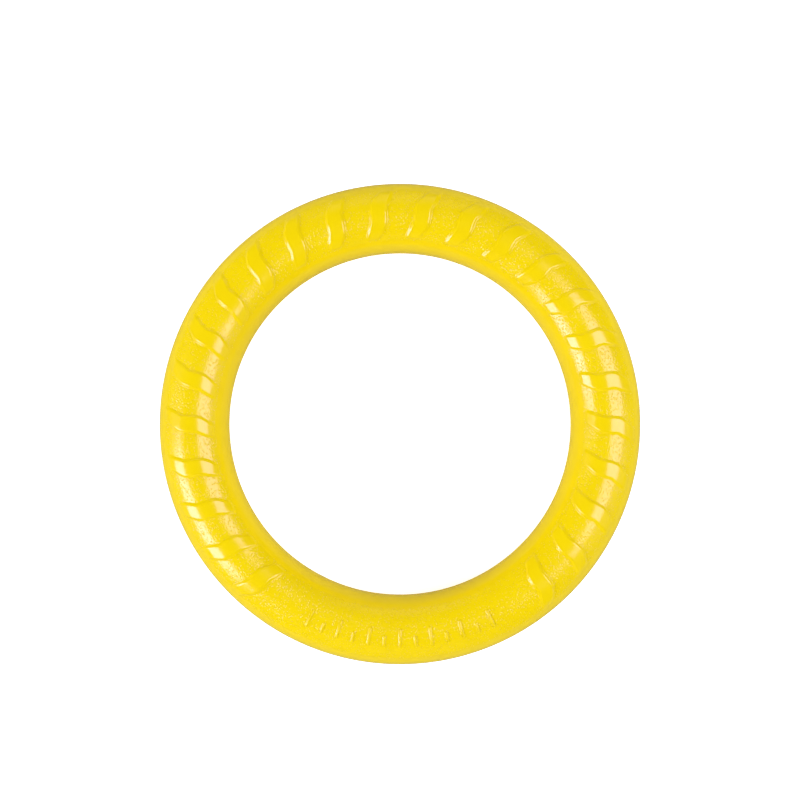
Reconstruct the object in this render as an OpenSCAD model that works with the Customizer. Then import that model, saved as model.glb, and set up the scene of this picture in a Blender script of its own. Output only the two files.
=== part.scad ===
// Flying ring: a soft round tube closed into a ring, with raised grip bands on both faces.
// Millimetres. The ring lies flat: Z is its axis, Z = 0 is the parting line between the two
// halves of the skin, and the stretch without bands is at the front (-Y).

/* [Ring] */
// Outside diameter of the ring
outer_d = 180; // [150:1:280]
// Diameter of the round tube that forms the ring
tube_d = 26; // [21:0.5:36]

/* [Skin] */
// Thickness of the dense skin around the foam
skin_t = 1.2; // [0.8:0.1:2.5]

/* [Grip bands] */
// Number of raised bands on each face
band_count = 24; // [12:1:27]
// Angle between the first and the last band, across the plain stretch
plain_angle = 84; // [70:1:120]
// Width of a band at its middle
band_w = 6; // [4:0.1:6.5]
// Width that a band narrows to at its ends
band_end_w = 3.6; // [2:0.1:4]
// Height of a band above the skin, at its highest
band_relief = 0.7; // [0.4:0.05:1.2]
// Where a band ends on the outside of the tube, as an angle from the top of the tube
band_out_angle = 48.5; // [42:0.5:56]
// Where a band ends on the side of the hole, as an angle from the top of the tube
band_in_angle = 40; // [35:0.5:50]
// Length of the straight stretch in a band, across the tube
band_straight = 6; // [3:0.5:7]
// Distance from the top of the tube out to the middle of the straight stretch
band_straight_at = 0.5; // [0:0.1:3]
// Sideways run of a band's slanted ends, for each millimetre across the tube
band_slant = 0.66; // [0.2:0.01:0.8]

/* [Marker row] */
// Number of raised ticks in the plain stretch of each face
tick_count = 13; // [7:2:15]
// Angle between the first and the last tick
tick_angle = 50; // [30:1:54]
// Width of a tick
tick_w = 1.2; // [0.8:0.1:2]
// Length of a long tick
tick_long = 7.2; // [5:0.1:9]
// Length of a short tick
tick_short = 4.4; // [2.5:0.1:4.9]
// Distance from the top of the tube out to the outer end of every tick
tick_base = 5.2; // [3:0.1:8]
// Height of a tick above the skin
tick_relief = 0.4; // [0.2:0.05:0.6]

/* [Hidden] */
$fn = 96;

// Tube
tube_r = tube_d / 2;
core_r = tube_r - skin_t;
ring_r = outer_d / 2 - tube_r;

// Bands, spread evenly over what the plain stretch leaves
band_pitch = (360 - plain_angle) / (band_count - 1);
first_band_at = plain_angle / 2 - 180;
band_out = tube_r * sin(band_out_angle);
band_in = -tube_r * sin(band_in_angle);
band_mid = (band_out + band_in) / 2;
band_half_length = (band_out - band_in) / 2;

// The crown of a band is a tighter arc than the tube, so that the band fades towards its ends.
// It would meet the skin a little past them
crown_run_out = 12;
crown_lean = (band_out_angle - band_in_angle) / 2;
crown_angle = (band_out_angle + band_in_angle) / 2 + crown_run_out;
top_r = tube_r + band_relief;
crown_shift = (top_r * top_r - tube_r * tube_r) / (2 * (top_r - tube_r * cos(crown_angle)));
crown_r = top_r - crown_shift;

// Outline of a band: its two bends stay wide enough for its width, and its ends are rounded off
bend_r = 0.3 * band_slant * band_w;
end_power = 10;
outline_steps = 18;

// Ticks
tick_pitch = tick_angle / (tick_count - 1);

core_colour = [0.97, 0.88, 0.42];
skin_colour = [0.96, 0.83, 0.04];
band_colour = [0.99, 0.88, 0.05];
tick_colour = [0.99, 0.88, 0.05];

function node_name(stem, i) = str(stem, i < 10 ? "0" : "", i);

// Angle of a band, clockwise from the back (+Y) as seen from above
function band_angle(i) = first_band_at + (i - 1) * band_pitch;

// Zero, then rising one for one, with a rounded corner between; and how steep that is
function ramp(x) = (x + sqrt(x * x + bend_r * bend_r)) / 2;
function ramp_slope(x) = (1 + x / sqrt(x * x + bend_r * bend_r)) / 2;

// The spine of a band: its place sideways and its lean, at x outwards from its straight stretch
function spine(x) =
    band_slant * (ramp(x - band_straight / 2) - ramp(-x - band_straight / 2));
function spine_lean(x) =
    atan(band_slant * (ramp_slope(x - band_straight / 2) + ramp_slope(-x - band_straight / 2)));

// Half the width of a band, for t from -1 at its inner end to 1 at its outer end
function half_w(t) =
    (band_w - (band_w - band_end_w) * t * t) / 2 * pow(1 - pow(abs(t), end_power), 1 / end_power);

// A point on a band's edge, square out from its spine: side is 1 on the right, -1 on the left
function edge_point(t, side) =
    let (v = band_mid + band_half_length * t)
    let (lean = spine_lean(v - band_straight_at))
    let (away = side * half_w(t))
    [spine(v - band_straight_at) + away * cos(lean), v - away * sin(lean)];

band_outline = concat(
    [for (k = [0:outline_steps]) edge_point(cos(180 * k / outline_steps), 1)],
    [for (k = [outline_steps - 1:-1:1]) edge_point(cos(180 * k / outline_steps), -1)]
);

// A section swept around the ring's axis, drawn about the centre of the tube
module around_ring() {
    rotate_extrude() translate([ring_r, 0]) children();
}

// One half of the skin's section, above the parting line
module half_skin_section() {
    intersection() {
        difference() {
            circle(tube_r);
            circle(core_r);
        }
        translate([-tube_d, 0]) square([2 * tube_d, tube_d]);
    }
}

// What stands proud of the skin under a band's crown
module crown_section() {
    difference() {
        translate([crown_shift * sin(crown_lean), crown_shift * cos(crown_lean)]) circle(crown_r);
        circle(tube_r);
    }
}

// What stands proud of the skin in the marker row
module tick_section() {
    difference() {
        circle(tube_r + tick_relief);
        circle(tube_r);
    }
}

// Places a flat outline, drawn from the top of the tube, as an upright prism at an angle
module prism_at(angle) {
    rotate([0, 0, -angle]) translate([0, ring_r, 0]) linear_extrude(tube_d) children();
}

// Turns a part of the upper face over to the lower one, about the Y axis
module turned_over() {
    rotate([0, 180, 0]) children();
}

module foam_core() {
    color(core_colour) around_ring() circle(core_r);
}

module upper_skin() {
    color(skin_colour) around_ring() half_skin_section();
}

module lower_skin() {
    turned_over() upper_skin();
}

module upper_band(i) {
    color(band_colour) intersection() {
        around_ring() crown_section();
        prism_at(band_angle(i)) polygon(band_outline);
    }
}

module lower_band(i) {
    turned_over() upper_band(i);
}

// A bar with round ends, from the base of the row in towards the hole
module tick_outline(length) {
    translate([-tick_w / 2, tick_base - length + tick_w / 2]) square([tick_w, length - tick_w]);
    translate([0, tick_base - tick_w / 2]) circle(d = tick_w);
    translate([0, tick_base - length + tick_w / 2]) circle(d = tick_w);
}

module upper_marker_row() {
    color(tick_colour) intersection() {
        around_ring() tick_section();
        for (i = [0:tick_count - 1])
            prism_at(180 - tick_angle / 2 + i * tick_pitch)
                tick_outline(i % 2 == 0 ? tick_long : tick_short);
    }
}

module lower_marker_row() {
    turned_over() upper_marker_row();
}

foam_core();
upper_skin();
lower_skin();
for (i = [1:band_count]) {
    upper_band(i);
    lower_band(i);
}
upper_marker_row();
lower_marker_row();
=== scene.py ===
import math

import bpy
import numpy as np
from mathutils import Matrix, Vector


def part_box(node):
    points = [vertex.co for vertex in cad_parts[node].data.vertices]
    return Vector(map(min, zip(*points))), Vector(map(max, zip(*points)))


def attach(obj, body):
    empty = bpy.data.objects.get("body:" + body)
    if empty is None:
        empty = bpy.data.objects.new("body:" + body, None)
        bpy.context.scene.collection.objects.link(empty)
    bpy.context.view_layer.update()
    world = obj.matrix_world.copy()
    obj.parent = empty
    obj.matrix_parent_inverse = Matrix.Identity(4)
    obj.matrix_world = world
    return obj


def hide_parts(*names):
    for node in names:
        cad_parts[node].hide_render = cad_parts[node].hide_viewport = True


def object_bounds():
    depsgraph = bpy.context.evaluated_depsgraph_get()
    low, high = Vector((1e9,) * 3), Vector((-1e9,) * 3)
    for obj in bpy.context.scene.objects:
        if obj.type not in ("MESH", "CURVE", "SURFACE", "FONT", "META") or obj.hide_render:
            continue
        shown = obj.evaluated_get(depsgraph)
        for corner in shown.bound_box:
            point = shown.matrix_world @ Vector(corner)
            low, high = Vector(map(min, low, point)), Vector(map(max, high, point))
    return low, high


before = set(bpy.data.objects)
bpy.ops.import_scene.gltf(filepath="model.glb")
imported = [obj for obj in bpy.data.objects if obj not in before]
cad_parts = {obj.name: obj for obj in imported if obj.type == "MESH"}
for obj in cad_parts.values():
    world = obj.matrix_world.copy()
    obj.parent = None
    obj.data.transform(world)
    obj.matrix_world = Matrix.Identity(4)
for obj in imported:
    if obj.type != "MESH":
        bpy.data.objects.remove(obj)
cadLow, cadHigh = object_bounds()

mm = 0.001


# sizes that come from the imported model

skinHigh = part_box("upper_skin")[1]
tubeRadius = skinHigh.z
ringRadius = skinHigh.x - tubeRadius  # centre line of the tube
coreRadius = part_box("foam_core")[1].z
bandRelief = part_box("upper_band_12")[1].z - tubeRadius
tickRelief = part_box("upper_marker_row")[1].z - tubeRadius
bandNodes = sorted(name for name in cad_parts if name.startswith("upper_band_"))
bandCount = len(bandNodes)


def headingOf(node):
    # clockwise from +Y, seen from above
    low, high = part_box(node)
    middle = (low + high) / 2
    return math.atan2(middle.x, middle.y)


# the first and last bands lean the same way, so their headings differ by whole pitches
bandPitch = (headingOf(bandNodes[-1]) - headingOf(bandNodes[0])) / (bandCount - 1)
bandPitch = math.radians(round(math.degrees(bandPitch) * 4) / 4)
print("ring radius %.1f mm, tube radius %.1f mm" % (ringRadius / mm, tubeRadius / mm))
print("%d bands a face, %.2f degrees apart" % (bandCount, math.degrees(bandPitch)))


# shader expressions


class Shade:
    def __init__(self, tree, socket=None):
        self.tree = tree
        self.socket = socket

    def node(self, kind, settings=None, inputs=None, output=0):
        made = self.tree.nodes.new(kind)
        for key, value in (settings or {}).items():
            setattr(made, key, value)
        for key, value in (inputs or {}).items():
            if isinstance(value, Shade):
                self.tree.links.new(value.socket, made.inputs[key])
            else:
                made.inputs[key].default_value = value
        return Shade(self.tree, made.outputs[output] if len(made.outputs) else None)

    def maths(self, operation, *values):
        return self.node("ShaderNodeMath", {"operation": operation}, dict(enumerate(values)))

    def __add__(self, other):
        return self.maths("ADD", self, other)

    def __sub__(self, other):
        return self.maths("SUBTRACT", self, other)

    def __rsub__(self, other):
        return self.maths("SUBTRACT", other, self)

    def __mul__(self, other):
        return self.maths("MULTIPLY", self, other)

    def __truediv__(self, other):
        return self.maths("DIVIDE", self, other)

    def __pow__(self, other):
        return self.maths("POWER", self, other)

    __radd__ = __add__
    __rmul__ = __mul__

    def rising(self, low, high):
        # 0 below low, 1 above high, soft between
        return self.node(
            "ShaderNodeMapRange",
            {"interpolation_type": "SMOOTHSTEP"},
            {"Value": self, "From Min": low, "From Max": high},
        )

    def mixed(self, colourA, colourB):
        # colourA where this is 0, colourB where it is 1
        return self.node(
            "ShaderNodeMix",
            {"data_type": "RGBA"},
            {0: self, 6: colourA, 7: colourB},
            output=2,
        )


def noise(place, size, detail=2.0, rough=0.5):
    return place.node(
        "ShaderNodeTexNoise",
        None,
        {"Vector": place, "Scale": 1 / size, "Detail": detail, "Roughness": rough},
    )


def cells(place, size, feature="F1"):
    return place.node(
        "ShaderNodeTexVoronoi",
        {"feature": feature},
        {"Vector": place, "Scale": 1 / size},
    )


def bumped(height, depth, under=None):
    inputs = {"Height": height, "Distance": depth, "Strength": 1.0}
    if under is not None:
        inputs["Normal"] = under
    return height.node("ShaderNodeBump", None, inputs)


def newMaterial(name):
    material = bpy.data.materials.new(name)
    material.use_nodes = True
    material.node_tree.nodes.clear()
    return material, Shade(material.node_tree)


def finishMaterial(start, inputs):
    surface = start.node("ShaderNodeBsdfPrincipled", None, inputs)
    start.node("ShaderNodeOutputMaterial", None, {"Surface": surface})


# the soft yellow foam skin

foam = {
    "colour": (0.79, 0.59, 0.0, 1.0),
    "deepColour": (0.76, 0.555, 0.0, 1.0),  # in the slow mottling
    "glossColour": (1.0, 0.6, 1.0, 1.0),  # takes the green edge off the bright streaks
    # painted shade: the darker base colour given to the pits of the grain
    "pitShadeColour": (0.73, 0.535, 0.0, 1.0),
    "grainSize": 0.88 * mm,
    "grainDepth": 0.075 * mm,
    "pitDull": 0.16,  # how much rougher the pits of the grain are
    "grainIn": -42,  # the grain stops this far round the tube, in degrees
    "grainOut": 46,
    "grainFade": 5,
    "lumpSize": 7 * mm,
    "lumpDepth": 0.10 * mm,
    "rippleSize": 2.2 * mm,
    "rippleDepth": 0.012 * mm,
    "poreSize": 0.9 * mm,
    "poreDepth": 0.004 * mm,
    "mottleSize": 11 * mm,
    "mottleShare": 0.4,
    # how strongly the painted shade darkens the pits
    "pitShadeShare": 0.5,
    "wanderSize": 0.8 * mm,  # bends the pits of the grain out of round
    "wanderReach": 0.35 * mm,
    "fineSize": 0.25 * mm,
    "smoothFrom": 0.04 * mm,  # above the skin, where the smooth finish of a band begins
    "smoothTo": 0.22 * mm,
    "blotchSize": 3.5 * mm,
    "blotchSpread": 0.06,  # how much the roughness wanders
    "specular": 0.75,
}


def tubeShape(place):
    # sine of the angle round the tube from its crown, and the height above the skin
    apart = place.node("ShaderNodeSeparateXYZ", None, {0: place})
    x = apart
    y = Shade(place.tree, apart.socket.node.outputs[1])
    z = Shade(place.tree, apart.socket.node.outputs[2])
    across = (x * x + y * y) ** 0.5 - ringRadius
    away = (across * across + z * z) ** 0.5
    return across / away, away - tubeRadius


def foamMaterial(name, gloss, flatGloss):
    material, start = newMaterial(name)
    place = start.node("ShaderNodeTexCoord", output="Object")
    turn, height = tubeShape(place)

    low = math.radians(foam["grainIn"] - foam["grainFade"])
    lowTop = math.radians(foam["grainIn"])
    high = math.radians(foam["grainOut"])
    highTop = math.radians(foam["grainOut"] + foam["grainFade"])
    field = turn.rising(math.sin(low), math.sin(lowTop))
    field = field * (1 - turn.rising(math.sin(high), math.sin(highTop)))
    raised = height.rising(foam["smoothFrom"], foam["smoothTo"])
    grainMask = field * (1 - raised)

    # level ground with small separate pits, bent by a finer noise
    wander = place.node(
        "ShaderNodeVectorMath",
        {"operation": "SCALE"},
        {0: place.node("ShaderNodeTexNoise", None,
                       {"Vector": place, "Scale": 1 / foam["wanderSize"], "Detail": 1.0},
                       output=1),
         "Scale": foam["wanderReach"]},
    )
    bent = place.node("ShaderNodeVectorMath", {"operation": "ADD"}, {0: place, 1: wander})
    level = cells(bent, foam["grainSize"]).rising(0.1, 0.5)
    pit = (1 - level) * grainMask
    fine = noise(place, foam["fineSize"], 2.0, 0.6)
    grain = (level * 0.9 + fine * 0.1) * grainMask

    lumps = noise(place, foam["lumpSize"], 2.0, 0.45)
    ripple = noise(place, foam["rippleSize"], 2.0, 0.5)
    pores = cells(place, foam["poreSize"]).rising(0.0, 0.10)

    normal = bumped(lumps, foam["lumpDepth"])
    normal = bumped(ripple, foam["rippleDepth"], normal)
    normal = bumped(pores, foam["poreDepth"], normal)
    normal = bumped(grain, foam["grainDepth"], normal)

    mottle = noise(place, foam["mottleSize"], 3.0, 0.5).rising(0.35, 0.7)
    base = (mottle * foam["mottleShare"]).mixed(foam["colour"], foam["deepColour"])
    # painted shade: the pits of the grain are darkened in the base colour, on top of their bump
    base = (pit * foam["pitShadeShare"]).mixed(base, foam["pitShadeColour"])

    blotch = noise(place, foam["blotchSize"], 3.0, 0.6)
    rough = flatGloss + raised * (gloss - flatGloss) + (blotch - 0.5) * foam["blotchSpread"]
    rough = rough + pit * foam["pitDull"]
    finishMaterial(
        start,
        {"Base Color": base, "Roughness": rough, "Normal": normal, "IOR": 1.5,
         "Specular IOR Level": foam["specular"], "Specular Tint": foam["glossColour"]},
    )
    return material


def coreMaterial():
    # closed-cell foam, as a cut through the tube would show it
    material, start = newMaterial("closedCellFoam")
    place = start.node("ShaderNodeTexCoord", output="Object")
    bubble = cells(place, 0.7 * mm)
    small = cells(place, 0.3 * mm)
    normal = bumped(bubble, 0.15 * mm)
    normal = bumped(small, 0.05 * mm, normal)
    # painted shade: the hollows of the bubbles get the darker colour, with a random tone from
    # the noise on top
    shade = bubble.rising(0.1, 0.7) * 0.7 + noise(place, 4 * mm) * 0.3
    base = shade.mixed((0.90, 0.68, 0.10, 1.0), (0.95, 0.78, 0.22, 1.0))
    rough = 0.7 + noise(place, 2 * mm) * 0.2
    finishMaterial(start, {"Base Color": base, "Roughness": rough, "Normal": normal})
    return material


skinMaterial = foamMaterial("yellowFoamSkin", gloss=0.18, flatGloss=0.18)
bandMaterial = foamMaterial("yellowFoamBands", gloss=0.18, flatGloss=0.22)
markerMaterial = foamMaterial("yellowFoamMarkers", gloss=0.22, flatGloss=0.22)
print("materials made")


# mesh helpers


def newPiece(name, points, faces, material, slotName, *nodes):
    mesh = bpy.data.meshes.new(name)
    mesh.from_pydata([tuple(p) for p in points], [], faces)
    mesh.polygons.foreach_set("use_smooth", [True] * len(mesh.polygons))
    mesh.set_sharp_from_angle(angle=math.radians(60))
    mesh.materials.append(material)
    mesh.update()
    piece = bpy.data.objects.new(name, mesh)
    bpy.context.scene.collection.objects.link(piece)
    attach(piece, "root")
    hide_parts(*nodes)
    return piece


def turnedOver(points):
    # the lower face is the upper one turned over about the Y axis
    return points * np.array([-1.0, 1.0, -1.0])


def onTube(sideways, outwards, height, heading):
    # a point given from the tube's crown, lifted off the skin by height, at a heading
    alongY = ringRadius + outwards
    x = sideways * math.cos(heading) + alongY * math.sin(heading)
    y = alongY * math.cos(heading) - sideways * math.sin(heading)
    reach = np.hypot(x, y)
    across = reach - ringRadius
    z = np.sqrt(np.maximum(tubeRadius ** 2 - across ** 2, 0.0))
    grow = height / tubeRadius
    newReach = reach + across * grow
    return np.stack([x / reach * newReach, y / reach * newReach, z * (1 + grow)], axis=-1)


def softStep(x):
    x = np.clip(x, 0.0, 1.0)
    return x * x * x * (x * (6 * x - 15) + 10)


def roundedSlope(x):
    # straight for the first half, then rounding over to level
    x = np.clip(x, 0.0, 1.0)
    return np.where(x < 0.5, x * 4 / 3, 1 - (1 - x) ** 2 * 4 / 3)


def patchFaces(rows, columns, start):
    # quads of a grid of points numbered row by row
    r, c = np.meshgrid(np.arange(rows - 1), np.arange(columns - 1), indexing="ij")
    a = start + r * columns + c
    return np.stack([a, a + 1, a + columns + 1, a + columns], axis=-1).reshape(-1, 4)


def closedPatch(sideways, outwards, height, heading, sunk):
    # a raised patch: its top, its underside sunk into the skin, and the strip that joins them
    rows, columns = height.shape
    top = onTube(sideways, outwards, height, heading).reshape(-1, 3)
    bottom = onTube(sideways, outwards, np.full_like(height, -sunk), heading).reshape(-1, 3)
    topFaces = patchFaces(rows, columns, 0)
    bottomFaces = patchFaces(rows, columns, rows * columns)[:, ::-1]
    border = [c for c in range(columns)]
    border += [r * columns + columns - 1 for r in range(1, rows)]
    border += [(rows - 1) * columns + c for c in range(columns - 2, -1, -1)]
    border += [r * columns for r in range(rows - 2, 0, -1)]
    border = np.array(border)
    after = np.roll(border, -1)
    count = rows * columns
    strip = np.stack([border, border + count, after + count, after], axis=-1)
    return np.concatenate([top, bottom]), np.concatenate([topFaces, bottomFaces, strip])


# the two halves of the skin

shell = {
    "around": 576,
    "across": 72,
    "acrossInside": 24,
    "flashHeight": 0.10 * mm,  # the fine line left where the mould's halves met
    "flashWidth": 0.22 * mm,
}


def buildSkin():
    edge = np.radians([0.0, 0.25, 0.6, 1.0, 1.5, 2.1])
    middle = np.linspace(math.radians(3.0), math.radians(177.0), shell["across"])
    outerAngle = np.concatenate([edge, middle, math.pi - edge[::-1]])
    flash = shell["flashHeight"] * np.exp(
        -((tubeRadius * np.sin(outerAngle) / shell["flashWidth"]) ** 2)
    )
    outerR = (tubeRadius + flash) * np.cos(outerAngle)
    outerZ = (tubeRadius + flash) * np.sin(outerAngle)
    innerAngle = np.linspace(math.pi, 0.0, shell["acrossInside"])
    innerR = coreRadius * np.cos(innerAngle)
    innerZ = coreRadius * np.sin(innerAngle)
    sectionR = ringRadius + np.concatenate([outerR, innerR])
    sectionZ = np.concatenate([outerZ, innerZ])
    sectionZ[0] = sectionZ[len(outerR) - 1] = 0.0
    sectionZ[len(outerR)] = sectionZ[-1] = 0.0
    count = len(sectionR)
    turn = np.linspace(0.0, 2 * math.pi, shell["around"], endpoint=False)
    x = np.outer(np.cos(turn), sectionR)
    y = np.outer(np.sin(turn), sectionR)
    z = np.tile(sectionZ, (shell["around"], 1))
    points = np.stack([x, y, z], axis=-1).reshape(-1, 3)
    s, k = np.meshgrid(np.arange(shell["around"]), np.arange(count), indexing="ij")
    sNext = (s + 1) % shell["around"]
    kNext = (k + 1) % count
    faces = np.stack(
        [s * count + k, sNext * count + k, sNext * count + kNext, s * count + kNext], axis=-1
    ).reshape(-1, 4)
    newPiece("upperSkin", points, faces.tolist(), skinMaterial, "skin", "upper_skin")
    newPiece("lowerSkin", turnedOver(points), faces.tolist(), skinMaterial, "skin", "lower_skin")


buildSkin()
print("skin made")


# the raised grip bands

band = {
    "width": 5.8 * mm,
    "endWidth": 3.6 * mm,
    "slant": 0.64,  # sideways for each millimetre outwards, beyond the straight stretch
    "innerSlant": 0.50,
    "shift": 0.2 * mm,
    "straight": 6.0 * mm,
    "straightAt": 0.5 * mm,
    "outAngle": 48.5,  # where a band ends, from the crown of the tube
    "inAngle": 40,
    "wall": 1.35 * mm,  # how wide the rounded slope of its edge is
    "foot": 0.65 * mm,  # how far the slope runs out past the outline
    "corner": 0.6 * mm,
    "fadeFrom": 6.5 * mm,
    "fadeTo": 11.2 * mm,
    "sunk": 0.35 * mm,
    "tuck": 0.10 * mm,
    "endIn": 0.3 * mm,  # keeps the slope of the inner end inside its outline
}
bendRadius = 0.3 * band["slant"] * band["width"]
bandOut = tubeRadius * math.sin(math.radians(band["outAngle"]))
bandIn = -tubeRadius * math.sin(math.radians(band["inAngle"]))


def ramp(x):
    return (x + np.sqrt(x * x + bendRadius ** 2)) / 2


def rampSlope(x):
    return (1 + x / np.sqrt(x * x + bendRadius ** 2)) / 2


def bandSpine(v):
    x = v - band["straightAt"]
    half = band["straight"] / 2
    place = band["slant"] * ramp(x - half) - band["innerSlant"] * ramp(-x - half)
    place = place + band["shift"]
    steep = band["slant"] * rampSlope(x - half) + band["innerSlant"] * rampSlope(-x - half)
    lean = np.arctan(steep)
    return place, lean


def bandGrid():
    # distances in from an edge: close together on the slope
    fromEdge = np.concatenate([[-0.95, -0.78], np.arange(-0.65, 0.75, 0.08), [0.85, 1.0]]) * mm
    v = np.concatenate([
        bandIn + band["endIn"] + fromEdge,
        np.linspace(bandIn + 1.6 * mm, bandOut - 0.9 * mm, 40),
        bandOut + np.array([-0.6, -0.35, -0.1, 0.15, 0.4, 0.6, 0.8, 1.05]) * mm,
    ])
    t = np.clip((v - (bandOut + bandIn) / 2) / ((bandOut - bandIn) / 2), -1.0, 1.0)
    half = (band["width"] - (band["width"] - band["endWidth"]) * t * t) / 2
    inner = np.linspace(0.0, 1.0, 4)[1:-1]
    columns = []
    for h in half:
        left = -h + fromEdge
        centre = left[-1] + (-2 * left[-1]) * inner
        columns.append(np.concatenate([left, centre, -left[::-1]]))
    across = np.array(columns)
    place, lean = bandSpine(v)
    # the ends run along the ring, not square to the band
    sideways = place[:, None] + across / np.cos(lean)[:, None]
    outwards = np.repeat(v[:, None], across.shape[1], axis=1)

    fromSide = half[:, None] - np.abs(across)
    fromInner = (v - bandIn - band["endIn"])[:, None]
    fromOuter = (bandOut - v)[:, None]
    corner = band["corner"]

    def rounded(first, second):
        a = corner - first
        b = corner - second
        outside = np.hypot(np.maximum(a, 0), np.maximum(b, 0))
        return corner - outside - np.minimum(np.maximum(a, b), 0)

    inside = np.minimum(rounded(fromSide, fromInner), rounded(fromSide, fromOuter))
    fade = 1 - softStep((v - band["fadeFrom"]) / (band["fadeTo"] - band["fadeFrom"]))
    innerFade = 0.76 + 0.24 * softStep((v - bandIn) / (4.5 * mm))
    top = (bandRelief * fade * innerFade)[:, None]
    height = top * roundedSlope((inside + band["foot"]) / band["wall"])
    under = np.clip((-inside - band["foot"]) / (0.15 * mm), 0.0, 1.0)
    return sideways, outwards, height - band["tuck"] * under


def buildBands():
    sideways, outwards, height = bandGrid()
    for i, node in enumerate(bandNodes):
        heading = (i - (bandCount - 1) / 2) * bandPitch
        points, faces = closedPatch(sideways, outwards, height, heading, band["sunk"])
        # facing out of the tube on the upper face
        faces = faces[:, ::-1].tolist()
        number = node[-2:]
        newPiece("upperBand" + number, points, faces, bandMaterial, "grip_bands", node)
        lower = node.replace("upper", "lower")
        newPiece("lowerBand" + number, turnedOver(points), faces, bandMaterial,
                 "grip_bands", lower)


buildBands()
print("bands made")


# the row of raised marks in the plain stretch

marks = {
    "count": 13,
    "spread": 50,  # degrees from the first to the last
    "width": 1.2 * mm,
    "long": 7.2 * mm,
    "short": 4.4 * mm,
    "base": 5.2 * mm,
    "wall": 0.55 * mm,
    "foot": 0.12 * mm,
    "sunk": 0.3 * mm,
}


def markGrid(length):
    radius = marks["width"] / 2
    across = np.linspace(-radius - 0.3 * mm, radius + 0.3 * mm, 17)
    start = marks["base"] - length
    v = np.concatenate([
        np.linspace(start - 0.3 * mm, start + 1.0 * mm, 12),
        np.linspace(start + 1.3 * mm, marks["base"] - 1.3 * mm, 9),
        np.linspace(marks["base"] - 1.0 * mm, marks["base"] + 0.3 * mm, 12),
    ])
    outwards, sideways = np.meshgrid(v, across, indexing="ij")
    nearest = np.clip(outwards, start + radius, marks["base"] - radius)
    inside = radius - np.hypot(sideways, outwards - nearest)
    height = tickRelief * softStep((inside + marks["foot"]) / marks["wall"])
    under = np.clip((-inside - marks["foot"]) / (0.12 * mm), 0.0, 1.0)
    return sideways, outwards, height - 0.08 * mm * under


def buildMarks():
    grids = [markGrid(marks["long"]), markGrid(marks["short"])]
    allPoints, allFaces, used = [], [], 0
    pitch = math.radians(marks["spread"]) / (marks["count"] - 1)
    for i in range(marks["count"]):
        heading = math.pi + (i - (marks["count"] - 1) / 2) * pitch
        points, faces = closedPatch(*grids[i % 2], heading, marks["sunk"])
        allPoints.append(points)
        allFaces.append(faces[:, ::-1] + used)
        used += len(points)
    points = np.concatenate(allPoints)
    faces = np.concatenate(allFaces).tolist()
    newPiece("upperMarks", points, faces, markerMaterial, "markers", "upper_marker_row")
    newPiece("lowerMarks", turnedOver(points), faces, markerMaterial, "markers",
             "lower_marker_row")


buildMarks()
print("marks made")


# the foam inside keeps its own shape

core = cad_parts["foam_core"]
core.data.materials.clear()
core.data.materials.append(coreMaterial())


# floor, light and camera

stageSizes = {
    "floorHalf": 2.0,  # ends inside the lit ground, where the white room takes over
    "tableHalf": 6.0,
    "cameraHeight": 0.65,
    "cameraAlongY": 9 * mm,
    "viewWidth": 300 * mm,
    "sensor": 36.0,
    "roomSeen": 1.25,  # the node's own grey is 0.8, so this shows as white
    "roomSoft": 0.14,  # brightness of the room on matt surfaces, and in reflections
    "roomGloss": 0.03,
    "tableGloss": 0.22,
    "glowHalf": 0.15,
}
lights = {
    "leftBox": {"heading": 245, "fromAbove": 56.5, "half": 15, "radiance": 7.5, "gloss": True},
    "rightBox": {"heading": 90, "fromAbove": 34.5, "half": 20.5, "radiance": 4.2, "gloss": True},
    # sheets that only fill the shaded flanks
    "leftSheet": {"heading": 262, "fromAbove": 75, "half": 20, "radiance": 2.7, "gloss": False},
    "backSheet": {"heading": 0, "fromAbove": 72, "half": 20, "radiance": 3.0, "gloss": False},
    "rightSheet": {"heading": 105, "fromAbove": 75, "half": 20, "radiance": 3.0, "gloss": False},
    "frontSheet": {"heading": 180, "fromAbove": 75, "half": 20, "radiance": 1.2, "gloss": False},
}
roundLights = ["rightBox"]
lightDistance = 3.0


def flatMesh(name, half, z, material):
    corners = [(-half, -half, z), (half, -half, z), (half, half, z), (-half, half, z)]
    mesh = bpy.data.meshes.new(name)
    mesh.from_pydata(corners, [], [(0, 1, 2, 3)])
    mesh.materials.append(material)
    plane = bpy.data.objects.new(name, mesh)
    bpy.context.scene.collection.objects.link(plane)
    return plane


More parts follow.
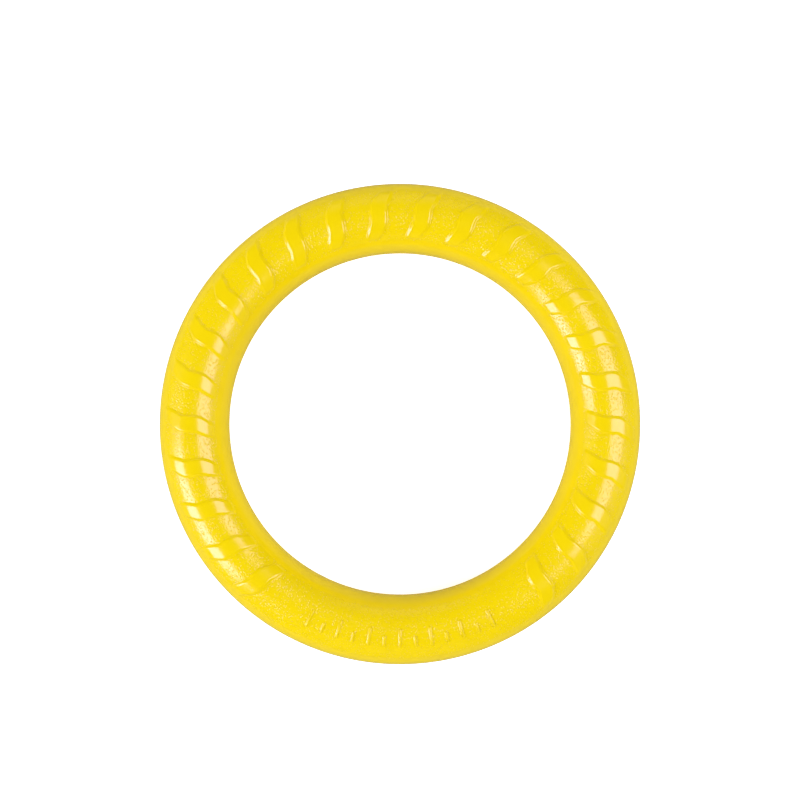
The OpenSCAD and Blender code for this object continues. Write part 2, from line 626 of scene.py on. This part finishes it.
def buildFloor():
    bottom = cadLow.z - 0.02 * mm
    material, start = newMaterial("paleFloor")
    finishMaterial(start, {
        "Base Color": (0.9, 0.9, 0.9, 1.0), "Roughness": 0.8,
        "Emission Color": (1.0, 1.0, 1.0, 1.0), "Emission Strength": 0.7,
        "Specular IOR Level": 0.0,
    })
    floor = flatMesh("floor", stageSizes["floorHalf"], bottom, material)
    floor.visible_glossy = False
    floor.visible_diffuse = False
    floor.visible_shadow = False
    material, start = newMaterial("greyTable")
    finishMaterial(start, {"Base Color": (0.85, 0.85, 0.85, 1.0), "Roughness": 0.6})
    table = flatMesh("table", stageSizes["tableHalf"], bottom - 0.5 * mm, material)
    table.visible_camera = False
    table.visible_glossy = False
    # what the rims reflect: only the stretch of table next to the ring
    material, start = newMaterial("tableGlow")
    finishMaterial(start, {
        "Base Color": (0.0, 0.0, 0.0, 1.0), "Roughness": 1.0, "Specular IOR Level": 0.0,
        "Emission Color": (1.0, 1.0, 1.0, 1.0), "Emission Strength": stageSizes["tableGloss"],
    })
    glow = flatMesh("tableGlow", stageSizes["glowHalf"], bottom - 0.3 * mm, material)
    glow.visible_camera = False
    glow.visible_diffuse = False
    glow.visible_shadow = False


def buildLights():
    for name, box in lights.items():
        heading = math.radians(box["heading"])
        tilt = math.radians(box["fromAbove"])
        away = Vector((
            math.sin(heading) * math.sin(tilt),
            math.cos(heading) * math.sin(tilt),
            math.cos(tilt),
        ))
        size = 2 * lightDistance * math.tan(math.radians(box["half"]))
        light = bpy.data.lights.new(name, "AREA")
        area = size * size
        light.shape = "SQUARE"
        if name in roundLights:
            area *= math.pi / 4
            light.shape = "DISK"
        light.size = size
        light.energy = box["radiance"] * math.pi * area
        holder = bpy.data.objects.new(name, light)
        holder.location = away * lightDistance
        holder.visible_glossy = box["gloss"]
        holder.rotation_mode = "QUATERNION"
        holder.rotation_quaternion = away.to_track_quat("Z", "Y")
        bpy.context.scene.collection.objects.link(holder)


def buildWorld():
    # the room is white to the camera, and dim in the ring's own gloss
    world = bpy.data.worlds.new("room")
    bpy.context.scene.world = world
    world.use_nodes = True
    world.node_tree.nodes.clear()
    start = Shade(world.node_tree)
    seen = start.node("ShaderNodeLightPath", output="Is Camera Ray")
    soft = start.node("ShaderNodeLightPath", output="Is Diffuse Ray")
    dim = soft * (stageSizes["roomSoft"] - stageSizes["roomGloss"]) + stageSizes["roomGloss"]
    shade = start.node("ShaderNodeBackground", None, {
        "Strength": seen * stageSizes["roomSeen"] + (1 - seen) * dim,
    })
    start.node("ShaderNodeOutputWorld", None, {"Surface": shade})


def buildCamera():
    data = bpy.data.cameras.new("camera")
    data.sensor_width = stageSizes["sensor"]
    data.lens = stageSizes["sensor"] * stageSizes["cameraHeight"] / stageSizes["viewWidth"]
    data.clip_start = 0.05
    data.clip_end = 50
    camera = bpy.data.objects.new("camera", data)
    camera.location = (0.0, stageSizes["cameraAlongY"], stageSizes["cameraHeight"])
    bpy.context.scene.collection.objects.link(camera)
    bpy.context.scene.camera = camera


buildFloor()
buildLights()
buildWorld()
buildCamera()
bpy.context.scene.view_settings.view_transform = "Standard"
print("stage made")
